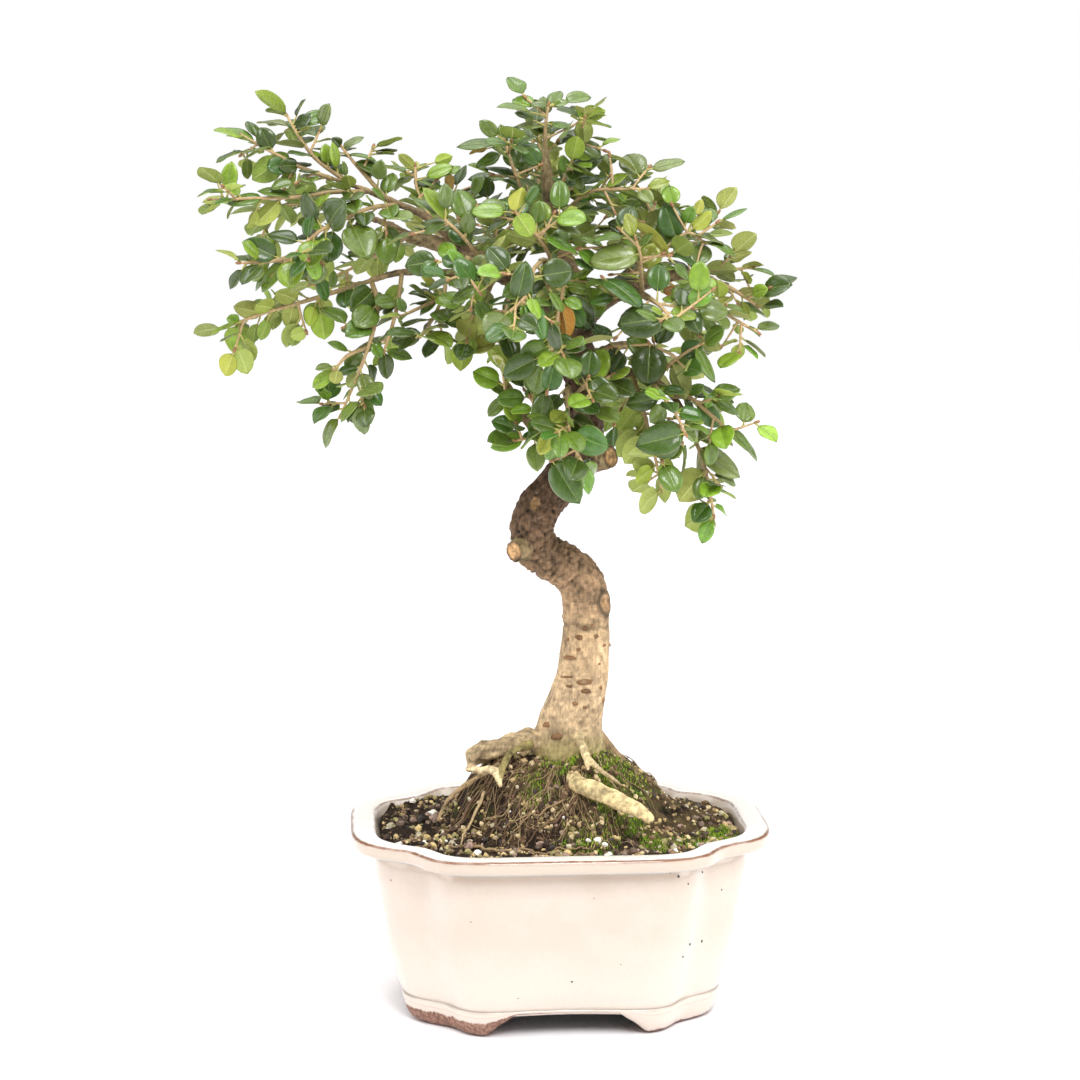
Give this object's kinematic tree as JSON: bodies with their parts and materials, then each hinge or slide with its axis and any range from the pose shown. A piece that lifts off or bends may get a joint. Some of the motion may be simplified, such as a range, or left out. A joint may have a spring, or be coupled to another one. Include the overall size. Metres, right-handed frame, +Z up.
{
  "type": "wall cotoneaster bonsai in a pot",
  "caption": "Wall cotoneaster bonsai: a curved trunk with spreading leafy twigs, rooted in mounded soil in a cream glazed lobed pot on low feet.",
  "frame": {"origin": "on the resting surface, under the middle of the whole model's bounding box", "axes": "+Z up, -Y the front seen in the picture, +X to the right seen from the front"},
  "size_m": [0.203, 0.1422, 0.3255],
  "materials": {
    "glazed_pot": "cream glaze, glossy, with bare clay on the feet",
    "drain_screen": "matt",
    "soil": "rough gritty soil with moss, gravel and perlite",
    "bark": "rough tan to grey-brown bark with lenticels",
    "leaf": "glossy dark green above, matt light green below"
  },
  "bodies": {
    "root": {"pot": "glazed_pot", "screen_left": "drain_screen", "screen_right": "drain_screen", "soil": "soil", "trunk": "bark", "spray_left_tip": "leaf", "spray_left_top": "leaf", "spray_left_crest": "leaf", "spray_left_far": "leaf", "spray_left_orange": "leaf", "spray_left_low": "leaf", "spray_left_drop": "leaf", "spray_left_drop_b": "leaf", "spray_left_under": "leaf", "spray_mid_under": "leaf", "spray_mid_under_b": "leaf", "spray_mid_left_front": "leaf", "spray_mid_left_up": "leaf", "spray_crest_a": "leaf", "spray_crest_b": "leaf", "spray_crest_c": "leaf", "spray_apex": "leaf", "spray_apex_right": "leaf", "spray_apex_back": "leaf", "spray_top_right": "leaf", "spray_top_right_back": "leaf", "spray_front_top": "leaf", "spray_front_end": "leaf", "spray_front_drop": "leaf", "spray_right_tip": "leaf", "spray_right_high": "leaf", "spray_right_upper": "leaf", "spray_right_far": "leaf", "spray_right_front": "leaf", "spray_right_front_up": "leaf", "spray_right_low_twig": "leaf", "spray_right_back_tip": "leaf", "spray_right_back_mid": "leaf", "spray_right_back_top": "leaf", "spray_cascade_tip": "leaf", "spray_cascade_out": "leaf", "spray_cascade_mid": "leaf", "spray_cascade_in": "leaf", "spray_cascade_front": "leaf", "spray_front_low_a": "leaf", "spray_front_low_b": "leaf", "spray_stub_left_shoot": "leaf", "spray_stub_left_up": "leaf", "spray_stub_front": "leaf", "spray_low_back_tip": "leaf", "spray_low_back_mid": "leaf", "spray_back_tip": "leaf", "spray_back_left": "leaf", "spray_back_right": "leaf", "spray_back_up": "leaf", "spray_back_low": "leaf", "spray_back_left_tip": "leaf", "spray_left_back_tip": "leaf", "spray_left_back_low": "leaf", "spray_mid_top_fill": "leaf"}
  },
  "joints": []
}
